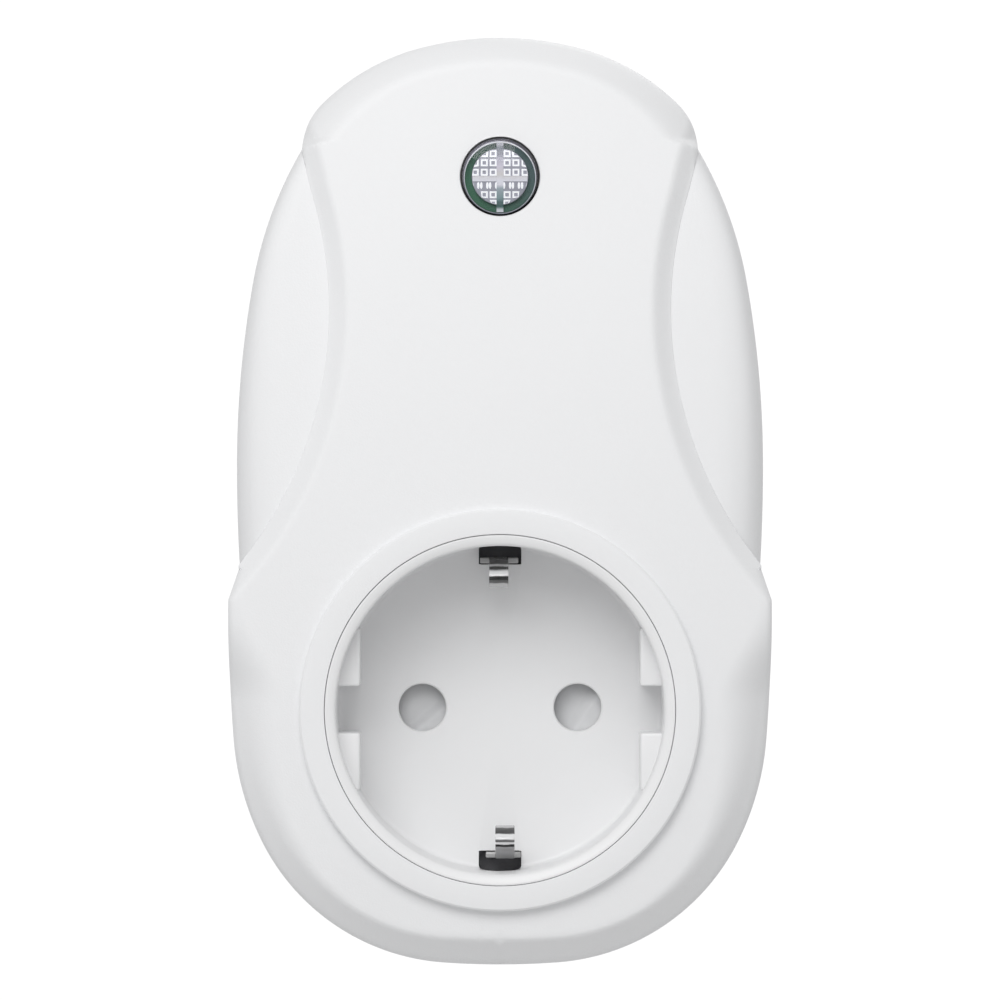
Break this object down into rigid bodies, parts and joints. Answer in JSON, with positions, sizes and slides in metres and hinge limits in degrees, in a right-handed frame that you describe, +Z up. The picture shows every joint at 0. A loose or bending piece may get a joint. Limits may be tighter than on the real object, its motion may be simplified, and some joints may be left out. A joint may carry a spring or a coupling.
{
  "type": "plug-in power meter",
  "caption": "Oval plug-in mains meter: recessed earthed socket in front, earthed plug behind, clear push button above, metering board and relay inside.",
  "frame": {"origin": "centre of the plug's pin face, on the axis shared by the plug and the socket", "axes": "+Z up the long side of the body, the socket faces -Y, the plug pins point along +Y, +X to the right as seen from the front"},
  "size_m": [0.0662, 0.073, 0.1133],
  "materials": {
    "white_housing": "fine matte grain",
    "white_insert": "smooth satin",
    "cream_plastic": "satin",
    "clear_lens": "polished",
    "frosted_diffuser": "frosted",
    "nickel": "nickel plated, lightly worn",
    "contact_brass": "stamped",
    "steel_screw": "zinc plated",
    "spring_steel": "bright",
    "board_green": "solder mask",
    "black_plastic": "satin",
    "relay_black": "satin",
    "relay_base_grey": "satin",
    "core_iron": "machined",
    "ferrite": "sintered",
    "coil_copper": "enamelled",
    "tape_yellow": "tape",
    "capacitor_sleeve": "shrink sleeve",
    "film_yellow": "moulded case",
    "varistor_blue": "dipped",
    "fuse_ceramic": "ceramic with metal caps",
    "shunt_alloy": "rolled strip",
    "chip_black": "moulded",
    "shield_can": "tinned",
    "led_resin": "resin",
    "wire_brown": "cable sleeve",
    "wire_blue": "cable sleeve",
    "wire_grey": "cable sleeve",
    "label_silver": "blank printed film"
  },
  "bodies": {
    "body": {"front_shell": "white_housing", "rear_shell": "white_housing", "housing_screws": "steel_screw", "rating_label": "label_silver", "socket_insert": "white_insert", "contact_carrier": "cream_plastic", "carrier_screws": "steel_screw", "shutter_spring": "spring_steel", "live_contact": "contact_brass", "neutral_contact": "contact_brass", "front_earth_bracket": "nickel", "rear_earth_bracket": "nickel", "earth_pin_socket": "contact_brass", "earth_pillar": "contact_brass", "earth_screws": "steel_screw", "live_pin": "nickel", "neutral_pin": "nickel", "pin_retainer": "cream_plastic", "retainer_screws": "steel_screw", "main_board": "board_green", "board_screws": "steel_screw", "wire_terminals": "nickel", "relay_base": "relay_base_grey", "relay_cover": "relay_black", "relay_frame": "core_iron", "relay_bobbin": "cream_plastic", "relay_coil": "coil_copper", "relay_contact": "contact_brass", "supply_capacitor": "capacitor_sleeve", "film_capacitor": "film_yellow", "transformer_core": "ferrite", "transformer_winding": "tape_yellow", "varistor": "varistor_blue", "fuse": "fuse_ceramic", "current_shunt": "shunt_alloy", "metering_chip": "chip_black", "radio_board": "board_green", "radio_shield": "shield_can", "radio_header": "black_plastic", "button_board": "board_green", "button_board_screws": "steel_screw", "switch_body": "black_plastic", "status_leds": "led_resin", "button_cable": "wire_grey", "live_wire": "wire_brown", "neutral_wire": "wire_blue", "live_load_wire": "wire_brown", "neutral_load_wire": "wire_blue"},
    "button": {"button_lens": "clear_lens", "light_diffuser": "frosted_diffuser"},
    "switch_key": {"switch_plunger": "black_plastic"},
    "shutter": {"safety_shutter": "white_insert"},
    "armature": {"relay_armature": "core_iron"}
  },
  "joints": [
    {"name": "button_press", "type": "slide", "parent": "body", "child": "button", "axis": [0, 1, 0], "range_m": [0, 0.0004], "stiffness_N_per_m": 900},
    {"name": "switch_press", "type": "slide", "parent": "body", "child": "switch_key", "axis": [0, 1, 0], "range_m": [0, 0.0004]},
    {"name": "shutter_turn", "type": "hinge", "parent": "body", "child": "shutter", "pos_m": [0, -0.0327, 0], "axis": [0, -1, 0], "range_deg": [0, 34], "stiffness_Nm_per_rad": 0.002},
    {"name": "armature_swing", "type": "hinge", "parent": "body", "child": "armature", "pos_m": [-0.0115, -0.039, 0.0361], "axis": [-1, 0, 0], "range_deg": [0, 2.2], "stiffness_Nm_per_rad": 0.02}
  ],
  "couplings": [
    {"joint": "switch_press", "follows": "button_press", "ratio": 1}
  ]
}
